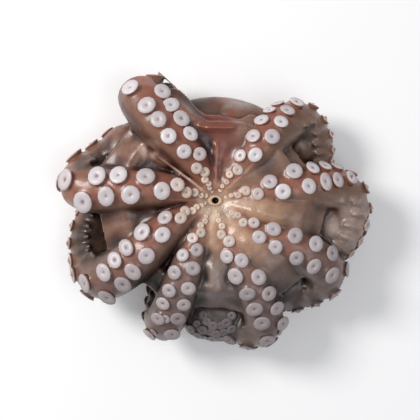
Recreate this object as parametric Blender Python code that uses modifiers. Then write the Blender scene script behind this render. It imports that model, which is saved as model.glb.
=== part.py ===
"""A whole raw octopus, laid mouth up in the flower shape that octopus is packed and sold in.

The eight arms run out from the mouth over the web, bend down over the rim and turn clockwise along the
flank, each one's thin end tucked under the next arm.  The mantle is folded underneath and takes the weight.
Metres, +Z up, +Y towards the gap between the two upper arms.  The origin is on the surface that the octopus
rests on, straight below its mouth.
"""

import math
from collections import namedtuple

import bmesh
import bpy
from mathutils import Matrix, Vector

# ------------------------------------------------------------------ driving dimensions
MOUTH_HEIGHT = 0.0640       # skin round the mouth
WEB_RISE = 0.0065           # the web stands this much higher half way out
WEB_DROOP = 0.0170          # and its free edge hangs this much lower again
WEB_THICKNESS = 0.0070
LIP_RADIUS = 0.0052
LIP_THICKNESS = 0.0020
MOUTH_RADIUS = 0.0027
MOUTH_DEPTH = 0.0060
PLUG_TAPER = 0.8            # the mouth is this much slimmer at its bottom
BEAK_CLEARANCE = 0.0004     # between the beak and the flesh round it
ARM_LIFT = 0.0080           # the arms' tops stand this much above the web half way out
RIM_DROP = 0.0080           # and have come down this much where they reach the rim
ARM_START = 0.010           # distance from the mouth at which the arms begin
ARM_GIRTH = 0.0200          # half thickness of the thickest arm at the rim
GIRTH_SHORT = 0.72          # an arm begins this share thinner
GIRTH_GROWTH = 0.036        # and thickens over this distance
TIP_GIRTH = 0.0025
TAIL_RADIUS = 0.050         # the thin ends coil to this distance from the axis
BODY_CENTRE = Vector((0, 0, 0.030))   # the suckers face away from this point
RING_STEP = 0.0050
RING_SIDES = 20
SUCKER_SHARE = 0.80         # of the sucker's full width that is solid
SUCKER_HEIGHT = 0.0045
SUCKER_FOOT = 0.0018        # how deep a sucker's foot is set in the skin
SUCKER_MIN = 0.0068         # suckers thinner than this are left to the skin
SUCKER_END = 0.62           # and so are those on the thin end, past this share of the arm
SUCKER_SIDES = 6
ROW_PARTED = 0.055          # distance from the arm's start at which the two rows have drawn apart
ROW_TILT = 15               # degrees that the suckers' faces lean out there

# heading and reach are where an arm crosses the rim.  sweep is how far it has swung by then, bow how
# gradually it bends down there, turn how far it swings clockwise down the flank, tuck how far it has moved in
# by the end of the flank, perch how much higher than the others it rides there and thick how much thicker it
# is.  lean is how far its suckers lean to the anticlockwise side at the rim, roll how far they look up again
# on the flank.  broad is its width over its thickness at the rim, and aside how much more of it lies on the
# anticlockwise side.  rise is how far out it begins to stand clear of the web, rows how far apart the two rows
# are, cup the width of a sucker over the arm's thickness from its middle, stretch how far apart the suckers
# are near the mouth and pitch how close they are at the rim.
Arm = namedtuple("Arm", "heading sweep reach bow girth turn tuck perch thick lean roll "
                        "broad aside rise rows cup stretch pitch")
ARMS = {
    "arm_1": Arm(122, 9.5, 0.110, 0.0, 1.02, 12, 0.042, 0.000, 1.00, -10, 0,
                 1.24, 0.008, 0.010, 31, 0.88, 0.95, 0.46),
    "arm_2": Arm(175, 17, 0.116, 0.0, 1.03, 32, 0.024, 0.003, 1.00, 0, 0,
                 1.05, 0.000, 0.012, 25, 1.00, 1.05, 0.55),
    "arm_3": Arm(216.5, 17.5, 0.116, 0.3, 1.04, 30, 0.004, 0.002, 1.05, 0, 0,
                 1.14, 0.000, 0.016, 25, 0.89, 0.95, 0.50),
    "arm_4": Arm(248, 7.5, 0.122, 1.0, 0.86, 10, 0.042, 0.000, 1.00, 0, 0,
                 1.06, 0.000, 0.020, 27, 0.89, 1.00, 0.52),
    "arm_5": Arm(294.5, 16, 0.120, 1.0, 0.88, 36, 0.023, 0.006, 1.00, 0, 55,
                 1.28, 0.000, 0.030, 27, 0.95, 1.10, 0.50),
    "arm_6": Arm(330, 7, 0.115, 0.6, 0.92, 28, 0.013, 0.010, 1.15, 5, 0,
                 1.12, 0.000, 0.034, 27, 0.89, 1.15, 0.57),
    "arm_7": Arm(8, -9, 0.108, 0.9, 0.96, 34, -0.005, 0.016, 1.20, 30, 0,
                 1.05, 0.000, 0.036, 26, 0.91, 1.35, 0.48),
    "arm_8": Arm(49, -14, 0.095, 0.7, 0.94, 28, -0.003, 0.012, 1.15, 34, 0,
                 1.05, 0.000, 0.030, 28, 0.86, 1.30, 0.48),
}

# Free edge of the web between two arms: where it is and how far out it reaches; how deep the web sinks
# midway; then the fold that runs in from it: where it is and how high it stands.
Gap = namedtuple("Gap", "angle edge sink fold_angle fold")
GAPS = (
    Gap(32, 0.079, 0.0000, 43, 0.0025),
    Gap(88, 0.071, 0.0020, 89, 0.0035),
    Gap(143, 0.093, -0.0010, 142, 0.0050),
    Gap(191, 0.096, -0.0010, 178, 0.0035),
    Gap(229, 0.090, 0.0020, 219, 0.0035),
    Gap(268, 0.089, -0.0025, 268, 0.0020),
    Gap(308, 0.095, -0.0040, 308, 0.0000),
    Gap(345, 0.091, -0.0040, 344, 0.0020),
)
SHORT_WEB = ((66, 0.080), (50, 0.084))      # the web is short under the arm with the least reach as well
WEB_REACH = 0.100           # the web's edge where it is hidden under the other arms
EDGE_WIDTH = 13             # degrees to each side over which the free edge is drawn in
SINK_WIDTH = 12
FOLD_WIDTH = 5
RUN_SHORT = (0.016, 0.044)  # the level run over the web ends this much inside reach, from no bow to most
RIM_INSET = (0.003, 0.014)  # and so does the first point of the descent
# Down over the rim: centreline height, share of the turn and of the tuck made by then.
DESCENT = ((0.049, 0.03, 0), (0.037, 0.14, 0.25), (0.026, 0.40, 0.70), (0.0175, 0.76, 1.00))
# The thin end under the next arm: centreline height, share of its own turn and of the way in to TAIL_RADIUS.
TAIL = ((0.0145, 0.25, 0.35), (0.0105, 0.60, 0.80), (0.0060, 1, 1))
TAIL_TURN = 62
CORE_SIZE = (0.176, 0.176, 0.054)
CORE_PLACE = (0, 0, 0.032)
MANTLE_SIZE = (0.100, 0.112, 0.060)
MANTLE_PLACE = (0.004, 0.006, 0.026)
MANTLE_FOLD_SIZE = (0.042, 0.030, 0.042)      # a fold of the mantle that looks out under the two upper arms
MANTLE_FOLD_PLACE = (0.016, 0.069, 0.031)
# The thin end of an arm, coiled up under the web between two others: its middle and its size.
COIL_PLACE = (0.002, -0.092, 0.030)
COIL_SIZE = (0.070, 0.050, 0.044)

# Skin that joins the web to the flank arms: where it is, how far out, its width, length and height.
Bridge = namedtuple("Bridge", "angle radius wide long top")
BRIDGE_FOOT = 0.012
BRIDGES = (
    Bridge(-9, 0.099, 0.050, 0.064, 0.057),
    Bridge(151, 0.088, 0.040, 0.046, 0.050),
    Bridge(36, 0.085, 0.028, 0.044, 0.051),
    Bridge(311, 0.095, 0.032, 0.046, 0.050),
)
VOXEL = 0.0024
SKIN_TRIANGLES = 4200


def smooth(share):
    share = min(1.0, max(0.0, share))
    return share * share * (3 - 2 * share)


def polar(radius, degrees, height):
    angle = math.radians(degrees)
    return Vector((radius * math.cos(angle), radius * math.sin(angle), height))


def between(pair, share):
    return pair[0] + (pair[1] - pair[0]) * share


def web_height(radius):
    return MOUTH_HEIGHT + WEB_RISE * smooth(radius / 0.045)


# ------------------------------------------------------------------ the arms' routes
def girth_grown(arm, distance):
    return ARM_GIRTH * arm.girth * (1 - GIRTH_SHORT * math.exp(-distance / GIRTH_GROWTH))


def girth_at(arm, distance, length):
    """Half thickness of the arm at that distance from its start."""
    share = max(0.0, (distance - arm.reach) / (length - arm.reach))
    return TIP_GIRTH + (girth_grown(arm, distance) - TIP_GIRTH) * max(0.0, 1 - share) ** 0.85


def control_points(arm):
    """Where the arm goes: out over the web, down over the rim, along the flank and in under its neighbour."""
    points = []
    run_end = arm.reach - between(RUN_SHORT, arm.bow)
    for share in (0, 0.2, 0.4, 0.6, 0.8, 1):
        radius = ARM_START + (run_end - ARM_START) * share
        swing = arm.heading - arm.sweep * (1 - share) ** 2
        lift = 0.001 + ARM_LIFT * arm.girth ** 2 * smooth((radius - arm.rise) / 0.045)
        lift -= RIM_DROP * smooth((radius - 0.06) / 0.045)
        height = web_height(radius) + lift - girth_grown(arm, radius - ARM_START)
        points.append(polar(radius, swing, height))
    for height, share, tucked in DESCENT:
        inset = 0 if tucked else between(RIM_INSET, arm.bow)
        radius = arm.reach - inset - arm.tuck * tucked
        points.append(polar(radius, arm.heading - arm.turn * share, height + arm.perch * tucked))
    flank_end = arm.reach - arm.tuck
    for height, share, inward in TAIL:
        radius = flank_end + (TAIL_RADIUS - flank_end) * inward
        swing = arm.heading - arm.turn - TAIL_TURN * share
        points.append(polar(radius, swing, height + arm.perch * (1 - share)))
    return points


def spline_points(points, steps):
    """Points of the uniform cubic B-spline that starts and ends on the first and last of the given points."""
    held = [points[0]] * 2 + points + [points[-1]] * 2
    line = []
    for index in range(len(held) - 3):
        a, b, c, d = held[index:index + 4]
        for step in range(steps):
            t = step / steps
            line.append((a * (1 - t) ** 3 + b * (3 * t ** 3 - 6 * t ** 2 + 4)
                         + c * (-3 * t ** 3 + 3 * t ** 2 + 3 * t + 1) + d * t ** 3) / 6)
    line.append(points[-1])
    return line


Station = namedtuple("Station", "arm distance place along up across girth")


class Route:
    """An arm's centreline, with the way its suckers face at each distance from its start."""

    def __init__(self, arm):
        self.arm = arm
        self.line = spline_points(control_points(arm), 12)
        self.distances = [0.0]
        for before, after in zip(self.line, self.line[1:]):
            self.distances.append(self.distances[-1] + (after - before).length)
        self.length = self.distances[-1]

    def at(self, wanted):
        arm = self.arm
        index = max(1, next((i for i, d in enumerate(self.distances) if d >= wanted), len(self.line) - 1))
        while self.distances[index] == self.distances[index - 1]:
            index += 1
        before, after = self.line[index - 1], self.line[index]
        share = (wanted - self.distances[index - 1]) / (self.distances[index] - self.distances[index - 1])
        place, along = before.lerp(after, share), (after - before).normalized()
        away = place - BODY_CENTRE
        away = (away - along * away.dot(along)).normalized()
        roll = math.radians(arm.roll) * smooth((wanted - arm.reach) / 0.03)
        up = away + Vector((0, 0, math.tan(roll)))
        up = (up - along * up.dot(along)).normalized()
        lean = smooth((wanted - 0.025) / 0.05) * (1 - smooth((wanted - arm.reach) / 0.02))
        up = Matrix.Rotation(-math.radians(arm.lean) * lean, 3, along) @ up
        return Station(arm, wanted, place, along, up, up.cross(along), girth_at(arm, wanted, self.length))


def skin_at(station, angle):
    """A point of the arm's skin, at an angle from the way the suckers face, clockwise from the mouth."""
    arm = station.arm
    on_flank = smooth((station.distance - arm.reach) / 0.03)
    at_rim = smooth((station.distance - 0.02) / 0.05) * (1 - on_flank)
    middle = station.place + station.across * arm.aside * at_rim
    wide = station.girth * (1.03 + (arm.broad - 1) * at_rim)
    thick = station.girth * (0.98 + (arm.thick - 1) * on_flank)
    return middle - station.across * wide * math.sin(angle) + station.up * thick * math.cos(angle)


# ------------------------------------------------------------------ Blender helpers
def new_object(name, mesh, collection):
    obj = bpy.data.objects.new(name, mesh)
    collection.objects.link(obj)
    return obj


def mesh_from(name, bm):
    bmesh.ops.recalc_face_normals(bm, faces=bm.faces)
    mesh = bpy.data.meshes.new(name)
    bm.to_mesh(mesh)
    bm.free()
    return mesh


def as_helper(obj):
    obj.hide_render = True
    obj.display_type = "WIRE"
    return obj


def material(name, colour, roughness):
    made = bpy.data.materials.new(name)
    made.use_nodes = True
    shader = made.node_tree.nodes["Principled BSDF"]
    shader.inputs["Base Color"].default_value = (*colour, 1)
    shader.inputs["Roughness"].default_value = roughness
    shader.inputs["Metallic"].default_value = 0
    return made


# ------------------------------------------------------------------ the flesh before it is joined
def arm_mesh(name, arm):
    """The arm as oval rings of skin along its route, closed at both ends."""
    bm = bmesh.new()
    path = Route(arm)
    count = round(path.length / RING_STEP)
    angles = [2 * math.pi * side / RING_SIDES for side in range(RING_SIDES)]
    rings = []
    for index in range(count + 1):
        station = path.at(path.length * index / count)
        rings.append([bm.verts.new(skin_at(station, angle)) for angle in angles])
    for near, far in zip(rings, rings[1:]):
        for side in range(RING_SIDES):
            after = (side + 1) % RING_SIDES
            bm.faces.new((near[side], near[after], far[after], far[side]))
    bm.faces.new(rings[0])
    bm.faces.new(rings[-1])
    return mesh_from(name, bm)


def bump(degrees, middle, width):
    """1 in that direction, falling away to each side."""
    off = abs((degrees - middle + 180) % 360 - 180)
    return math.exp(-(off / width) ** 2)


def web_shape(degrees):
    """(edge radius, fold height, sink) of the web in that direction: far out under an arm, in between less."""
    edge, fold, sink = WEB_REACH, 0.0, 0.0
    for gap in GAPS:
        edge += (gap.edge - WEB_REACH) * bump(degrees, gap.angle, EDGE_WIDTH)
        fold += gap.fold * bump(degrees, gap.fold_angle, FOLD_WIDTH)
        sink += gap.sink * bump(degrees, gap.angle, SINK_WIDTH)
    for angle, short in SHORT_WEB:
        edge = min(edge, WEB_REACH + (short - WEB_REACH) * bump(degrees, angle, EDGE_WIDTH))
    return edge, fold, sink


def web_mesh():
    """The web as a round sheet, lowest at the mouth, its edge turned down, with folds in to the mouth."""
    rings, spokes, first = 26, 180, 0.0005
    bm = bmesh.new()
    bmesh.ops.create_grid(bm, x_segments=rings, y_segments=spokes, size=0.5)
    for vert in bm.verts:
        share, degrees = vert.co.x + 0.5, (vert.co.y + 0.5) * 360
        edge, fold, sink = web_shape(degrees)
        radius = first + (edge - first) * share
        droop = WEB_DROOP * smooth((radius - edge + 0.026) / 0.034) + sink * smooth(radius / 0.045)
        fading = smooth((radius - 0.008) / 0.02) * (1 - 0.7 * smooth((radius - 0.045) / 0.04))
        vert.co = polar(radius, degrees, web_height(radius) - droop + fold * fading)
    bmesh.ops.remove_doubles(bm, verts=bm.verts, dist=0.0002)
    hole = [edge for edge in bm.edges if edge.is_boundary and edge.verts[0].co.to_2d().length < 0.002]
    bmesh.ops.contextual_create(bm, geom=hole)
    bm.faces.ensure_lookup_table()
    bm.normal_update()
    if bm.faces[0].normal.z < 0:
        bmesh.ops.reverse_faces(bm, faces=bm.faces)
    bmesh.ops.solidify(bm, geom=bm.faces[:], thickness=WEB_THICKNESS)
    return mesh_from("web", bm)


def lip_mesh():
    """The thick round lip that closes in on the mouth."""
    bpy.ops.mesh.primitive_torus_add(major_segments=24, minor_segments=10, major_radius=LIP_RADIUS,
                                     minor_radius=LIP_THICKNESS, location=(0, 0, MOUTH_HEIGHT + 0.0005))
    ring = bpy.context.object
    ring.data.transform(ring.matrix_world)
    mesh = ring.data
    bpy.data.objects.remove(ring)
    return mesh


def ball_mesh(name, size, place, turn=0):
    """A ball drawn out to that size; turn is about +Z, in degrees."""
    bm = bmesh.new()
    bmesh.ops.create_uvsphere(bm, u_segments=40, v_segments=24, radius=0.5)
    bmesh.ops.scale(bm, vec=size, verts=bm.verts)
    bmesh.ops.rotate(bm, matrix=Matrix.Rotation(math.radians(turn), 3, "Z"), verts=bm.verts)
    bmesh.ops.translate(bm, vec=place, verts=bm.verts)
    return mesh_from(name, bm)


def add_sucker(bm, base, normal, radius):
    turn = normal.to_track_quat("Z", "Y").to_matrix().to_4x4()
    turn.translation = base + normal * SUCKER_HEIGHT / 2
    bmesh.ops.create_cone(bm, cap_ends=True, segments=SUCKER_SIDES, radius1=radius * 0.8, radius2=radius,
                          depth=SUCKER_HEIGHT, matrix=turn)


def sucker_mesh():
    """Every sucker that is large enough to be solid, in two rows that start as one, as discs that flare."""
    bm = bmesh.new()
    for arm in ARMS.values():
        path = Route(arm)
        distance, side = 0.0, 1
        while distance < path.length * SUCKER_END:
            station = path.at(distance)
            across = arm.cup * station.girth
            parted = min(1.0, max(0.10, distance / ROW_PARTED))
            spread, tilt = math.radians(arm.rows * parted) * side, math.radians(ROW_TILT * parted) * side
            if across * SUCKER_SHARE >= SUCKER_MIN:
                face = station.up * math.cos(tilt) - station.across * math.sin(tilt)
                add_sucker(bm, skin_at(station, spread) - face * SUCKER_FOOT, face, across * SUCKER_SHARE / 2)
            rows_apart = 2 * math.sin(abs(spread)) * station.girth
            touching = math.sqrt(max(0.0, across ** 2 - rows_apart ** 2))
            step = max(arm.pitch * across, touching * SUCKER_SHARE)
            distance += step * (1 + (arm.stretch - 1) * (1 - smooth((distance - 0.02) / 0.04)))
            side = -side
    return mesh_from("suckers", bm)


# ------------------------------------------------------------------ the object
def flesh_mesh():
    """Arms, web, core, lip, mantle, coil and bridges of skin as closed shells that run into each other."""
    bm = bmesh.new()
    for name, arm in ARMS.items():
        bm.from_mesh(arm_mesh(name, arm))
    bm.from_mesh(web_mesh())
    bm.from_mesh(lip_mesh())
    for name, size, place in (("core", CORE_SIZE, CORE_PLACE), ("mantle", MANTLE_SIZE, MANTLE_PLACE),
                              ("mantle_fold", MANTLE_FOLD_SIZE, MANTLE_FOLD_PLACE),
                              ("coil", COIL_SIZE, COIL_PLACE)):
        bm.from_mesh(ball_mesh(name, size, place))
    for bridge in BRIDGES:
        place = polar(bridge.radius, bridge.angle, (bridge.top + BRIDGE_FOOT) / 2)
        size = (bridge.wide, bridge.long, bridge.top - BRIDGE_FOOT)
        bm.from_mesh(ball_mesh("skin_bridge", size, place, bridge.angle))
    return mesh_from("octopus", bm)


def boolean(obj, name, operation, other):
    modifier = obj.modifiers.new(name, "BOOLEAN")
    modifier.operation = operation
    modifier.object = other
    modifier.solver = "EXACT"
    return modifier


def floor_mesh():
    bm = bmesh.new()
    bmesh.ops.create_cube(bm, size=1)
    bmesh.ops.scale(bm, vec=(0.5, 0.5, 0.05), verts=bm.verts)
    bmesh.ops.translate(bm, vec=(0, 0, -0.025), verts=bm.verts)
    return mesh_from("floor_cutter", bm)


def plug_mesh(name, radius, low, high):
    """A round plug on the mouth's axis, slimmer at its lower end."""
    bm = bmesh.new()
    bmesh.ops.create_cone(bm, cap_ends=True, segments=16, radius1=radius * PLUG_TAPER, radius2=radius,
                          depth=high - low)
    bmesh.ops.translate(bm, vec=(0, 0, (low + high) / 2), verts=bm.verts)
    return mesh_from(name, bm)


def beak_mesh(low, high):
    """The beak's tip as it shows in the mouth: a blunt cone that leans over into a hook."""
    bm = bmesh.new()
    wide = MOUTH_RADIUS * PLUG_TAPER - BEAK_CLEARANCE
    bmesh.ops.create_cone(bm, cap_ends=True, segments=12, radius1=wide, radius2=wide * 0.3, depth=high - low)
    bmesh.ops.translate(bm, vec=(0, 0, (low + high) / 2), verts=bm.verts)
    for vert in bm.verts:
        if vert.co.z > low + 0.001:
            vert.co.x += wide * 0.5
    return mesh_from("beak", bm)


def build():
    for obj in list(bpy.data.objects):
        bpy.data.objects.remove(obj)
    scene = bpy.context.scene
    whole = bpy.data.collections.new("octopus_parts")
    helpers = bpy.data.collections.new("helpers")
    scene.collection.children.link(whole)
    scene.collection.children.link(helpers)

    octopus = new_object("octopus", flesh_mesh(), whole)
    octopus.data.materials.append(material("octopus_skin", (0.30, 0.16, 0.10), 0.35))
    remesh = octopus.modifiers.new("join flesh", "REMESH")
    remesh.mode = "VOXEL"
    remesh.voxel_size = VOXEL
    soften = octopus.modifiers.new("soften", "SMOOTH")
    soften.factor = 0.5
    soften.iterations = 4
    joined = octopus.evaluated_get(bpy.context.evaluated_depsgraph_get()).to_mesh()
    thin = octopus.modifiers.new("fewer faces", "DECIMATE")
    thin.ratio = SKIN_TRIANGLES / (2 * len(joined.polygons))

    suckers = as_helper(new_object("suckers", sucker_mesh(), helpers))
    boolean(octopus, "add suckers", "UNION", suckers).use_self = True
    floor = as_helper(new_object("floor_cutter", floor_mesh(), helpers))
    boolean(octopus, "flat where it rests", "DIFFERENCE", floor)
    mouth_floor = MOUTH_HEIGHT - MOUTH_DEPTH
    opening = plug_mesh("mouth_cutter", MOUTH_RADIUS, mouth_floor, MOUTH_HEIGHT + 0.008)
    mouth = as_helper(new_object("mouth_cutter", opening, helpers))
    boolean(octopus, "mouth", "DIFFERENCE", mouth)

    beak = new_object("beak", beak_mesh(mouth_floor + BEAK_CLEARANCE, MOUTH_HEIGHT - 0.0005), whole)
    beak.data.materials.append(material("beak_horn", (0.035, 0.022, 0.015), 0.3))


build()
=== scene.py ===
import math
import random
from collections import namedtuple

import bpy
import numpy as np
from mathutils import Matrix, Vector, kdtree
from mathutils.bvhtree import BVHTree


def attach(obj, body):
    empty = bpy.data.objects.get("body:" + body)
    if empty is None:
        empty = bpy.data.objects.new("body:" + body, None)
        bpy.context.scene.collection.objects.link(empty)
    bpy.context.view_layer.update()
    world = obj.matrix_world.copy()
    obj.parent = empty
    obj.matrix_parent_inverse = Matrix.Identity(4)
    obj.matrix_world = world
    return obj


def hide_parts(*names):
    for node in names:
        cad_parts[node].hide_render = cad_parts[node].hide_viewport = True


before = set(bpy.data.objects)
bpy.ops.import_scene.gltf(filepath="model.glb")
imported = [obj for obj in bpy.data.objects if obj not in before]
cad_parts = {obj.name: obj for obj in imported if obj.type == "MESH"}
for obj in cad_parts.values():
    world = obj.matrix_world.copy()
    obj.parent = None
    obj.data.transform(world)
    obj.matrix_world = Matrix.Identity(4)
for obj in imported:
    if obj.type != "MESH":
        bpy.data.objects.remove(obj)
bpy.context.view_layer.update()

chance = random.Random(8)

# ------------------------------------------------------------------ sizes shared with the CAD part
# Lengths are in metres, and angles in degrees anticlockwise from +X as seen from above.
MOUTH_HEIGHT = 0.0640
WEB_RISE = 0.0065           # how much higher the web stands a little way out than at the mouth
WEB_RISE_OVER = 0.045       # distance from the mouth at which it has risen
WEB_DROOP = 0.0170          # how far its edge hangs down
WEB_THICKNESS = 0.0070
ARM_LIFT = 0.0080           # how far an arm of girth 1 stands up out of the web
RIM_DROP = 0.0080           # how far the arms sink again towards the rim
ARM_START = 0.010           # distance from the mouth at which the arms begin
ARM_GIRTH = 0.0200          # radius of a full-grown arm of girth 1
GIRTH_GROWTH = 0.036        # length over which an arm gets most of its girth
TIP_GIRTH = 0.0025          # radius at the arm's tip
TAIL_RADIUS = 0.050         # distance from the middle at which the tips lie
BODY_CENTRE = Vector((0, 0, 0.030))     # the suckers look away from here

# heading and reach are where an arm crosses the rim.  sweep is how far it has swung by then, bow how
# gradually it bends down there, turn how far it swings clockwise down the flank, tuck how far it has moved
# in by the end of the flank, perch how much higher than the others it rides there and thick how much thicker
# it is.  lean is how far its suckers lean to the anticlockwise side at the rim, roll how far they look up
# again on the flank.  broad is its width over its thickness at the rim, and aside how much more of it lies on
# the anticlockwise side.  rise is how far out it begins to stand clear of the web, rows how far apart the two
# rows are, cup the width of a sucker over the arm's thickness from its middle, stretch how far apart the
# suckers are near the mouth, squeeze how much they are pressed together at the rim, pitch how close they are
# there, pleats how deep the ribs are that run to them on the flank.
Arm = namedtuple("Arm", "heading sweep reach bow girth turn tuck perch thick lean roll "
                        "broad aside rise rows cup stretch squeeze pitch pleats")
ARMS = {
    "arm_1": Arm(122, 9.5, 0.110, 0.0, 1.02, 12, 0.042, 0.000, 1.00, -10, 0,
                 1.24, 0.008, 0.010, 31, 0.88, 0.95, 0.08, 0.46, 0.5),
    "arm_2": Arm(175, 17, 0.116, 0.0, 1.03, 32, 0.024, 0.003, 1.00, 0, 0,
                 1.05, 0.000, 0.012, 25, 1.00, 1.05, 0.15, 0.55, 0.7),
    "arm_3": Arm(216.5, 17.5, 0.116, 0.3, 1.04, 30, 0.004, 0.002, 1.05, 0, 0,
                 1.14, 0.000, 0.016, 25, 0.89, 0.95, 0.25, 0.50, 0.7),
    "arm_4": Arm(248, 7.5, 0.122, 1.0, 0.86, 10, 0.042, 0.000, 1.00, 0, 0,
                 1.06, 0.000, 0.020, 27, 0.89, 1.00, 0.18, 0.52, 0.3),
    "arm_5": Arm(294.5, 16, 0.120, 1.0, 0.88, 36, 0.023, 0.006, 1.00, 0, 55,
                 1.28, 0.000, 0.030, 27, 0.95, 1.10, 0.18, 0.50, 0.3),
    "arm_6": Arm(330, 7, 0.115, 0.6, 0.92, 28, 0.013, 0.010, 1.15, 5, 0,
                 1.12, 0.000, 0.034, 27, 0.89, 1.15, 0.18, 0.57, 0.8),
    "arm_7": Arm(8, -9, 0.108, 0.9, 0.96, 34, -0.005, 0.016, 1.20, 30, 0,
                 1.05, 0.000, 0.036, 26, 0.91, 1.35, 0.34, 0.48, 1.6),
    "arm_8": Arm(49, -14, 0.095, 0.7, 0.94, 28, -0.003, 0.012, 1.15, 34, 0,
                 1.05, 0.000, 0.030, 28, 0.86, 1.30, 0.34, 0.48, 0.9),
}

# Free edge of the web between two arms: where it is and how far out it reaches; how deep the web sinks
# midway and dips beside the arms; then the fold that runs in from it: where it is, how high it stands, how
# far out it keeps its height and how wide its foot is.
Gap = namedtuple("Gap", "angle edge sink dip fold_angle fold fold_end fold_wide")
GAPS = (
    Gap(32, 0.079, 0.0000, 0.0010, 43, 0.0025, 0.044, 0.0060),
    Gap(88, 0.071, 0.0020, 0.0020, 89, 0.0030, 0.048, 0.0055),
    Gap(143, 0.093, -0.0010, 0.0035, 142, 0.0050, 0.062, 0.0070),
    Gap(191, 0.096, -0.0010, 0.0020, 178, 0.0035, 0.050, 0.0060),
    Gap(229, 0.090, 0.0020, 0.0030, 219, 0.0035, 0.036, 0.0055),
    Gap(268, 0.089, -0.0025, 0.0025, 268, 0.0020, 0.060, 0.0110),
    Gap(308, 0.095, -0.0040, 0.0000, 308, 0.0000, 0.040, 0.0060),
    Gap(345, 0.091, -0.0040, 0.0000, 344, 0.0020, 0.055, 0.0080),
)
SHORT_WEB = ((66, 0.080), (50, 0.084))      # the web is short under the arm with the least reach as well
SINK_RADII = (0.024, 0.036, 0.050, 0.064)   # where the web is let down midway between two arms
DIP_ZONES = ((0.017, 0.030), (0.030, 0.045), (0.045, 0.065), (0.065, 0.085))    # and beside them
RUN_SHORT = (0.016, 0.044)  # the level run over the web ends this much inside reach, from no bow to most
RIM_INSET = (0.003, 0.014)  # and so does the first point of the descent
# Points down the flank: height, share of the arm's turn and share of its tuck.
DESCENT = ((0.049, 0.03, 0), (0.037, 0.14, 0.25), (0.026, 0.40, 0.70), (0.0175, 0.76, 1.00))
# Points of the thin end: height, share of its turn and share of the way in to the tips.
TAIL = ((0.0145, 0.25, 0.35), (0.0105, 0.60, 0.80), (0.0060, 1, 1))
TAIL_TURN = 62
WEB_REACH = 0.100
WEB_HOLE = 0.003            # radius of the web's first ring
WEB_RINGS = 30
WEB_SPOKES = 200
DROOP_INSIDE = 0.026        # the web begins to hang down this far inside its reach
DROOP_LENGTH = 0.034
CORE_SIZE = (0.176, 0.176, 0.054)
CORE_PLACE = (0, 0, 0.032)
MANTLE_SIZE = (0.100, 0.112, 0.060)
MANTLE_PLACE = (0.004, 0.006, 0.026)
MANTLE_FOLD_SIZE = (0.042, 0.030, 0.042)      # a fold of the mantle that looks out under the two upper arms
MANTLE_FOLD_PLACE = (0.016, 0.069, 0.031)

# Skin that joins the web to the flank arms: where it is, how far out, its width, length and height.
Bridge = namedtuple("Bridge", "angle radius wide long top")
BRIDGE_FOOT = 0.012
BRIDGES = (
    Bridge(-9, 0.098, 0.048, 0.064, 0.053),
    Bridge(151, 0.088, 0.040, 0.046, 0.050),
    Bridge(36, 0.085, 0.028, 0.044, 0.051),
    Bridge(311, 0.095, 0.032, 0.046, 0.050),
)

# The thin end of an arm, coiled up under the web between two others: its middle and size, and the suckers on
# it: their width, how high each row looks, the way the rows face, how far apart the suckers are and how far
# round to each side they go.
COIL_PLACE = (0.002, -0.092, 0.030)
COIL_SIZE = (0.070, 0.050, 0.044)
COIL_SUCKER = 0.0085
COIL_ROWS = (6, 24, 42, 60)
COIL_FACING = 268
COIL_SPACING = 15
COIL_ROUND = 84

# ------------------------------------------------------------------ sizes of the fine detail
SKIN_GRAIN = 0.00168   # size of the skin's faces
RING_SPACING = 0.0040       # between the rings of an arm
RING_SIDES = 22
STUB_FOOT = 1.08            # width of the flesh under a sucker over the sucker's, at its foot and at its top
STUB_TOP = 0.84
SUCKER_SMALLEST = 0.0024
ROW_PARTED = 0.055          # distance from the arm's start at which the two rows have drawn apart
ROW_TILT = 15               # how far a sucker looks to its own side
SUCKER_SIDES = 12
# A sucker from its foot to the bottom of its cup: radius and height, over the radius of its rim.
SUCKER_PROFILE = ((0.80, -0.35), (0.86, 0.20), (1.00, 0.44), (0.95, 0.59), (0.46, 0.54), (0.20, 0.50),
                  (0.12, 0.42))


def smooth(share):
    """Eases from 0 to 1 as the share goes from 0 to 1."""
    share = min(1.0, max(0.0, share))
    return share * share * (3 - 2 * share)


def polar(radius, degrees, height):
    angle = math.radians(degrees)
    return Vector((radius * math.cos(angle), radius * math.sin(angle), height))


def web_height(radius):
    return MOUTH_HEIGHT + WEB_RISE * smooth(radius / WEB_RISE_OVER)


# ------------------------------------------------------------------ the arms' routes
def girth_grown(arm, distance):
    """The arm's radius that far from its start, before it thins down to the tip."""
    return ARM_GIRTH * arm.girth * (1 - 0.72 * math.exp(-distance / GIRTH_GROWTH))


def girth_at(arm, distance, length):
    share = max(0.0, (distance - arm.reach) / (length - arm.reach))
    return TIP_GIRTH + (girth_grown(arm, distance) - TIP_GIRTH) * max(0.0, 1 - share) ** 0.85


def between(pair, share):
    return pair[0] + (pair[1] - pair[0]) * share


def run_end_of(arm):
    """How far out the arm runs level over the web."""
    return arm.reach - between(RUN_SHORT, arm.bow)


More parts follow.
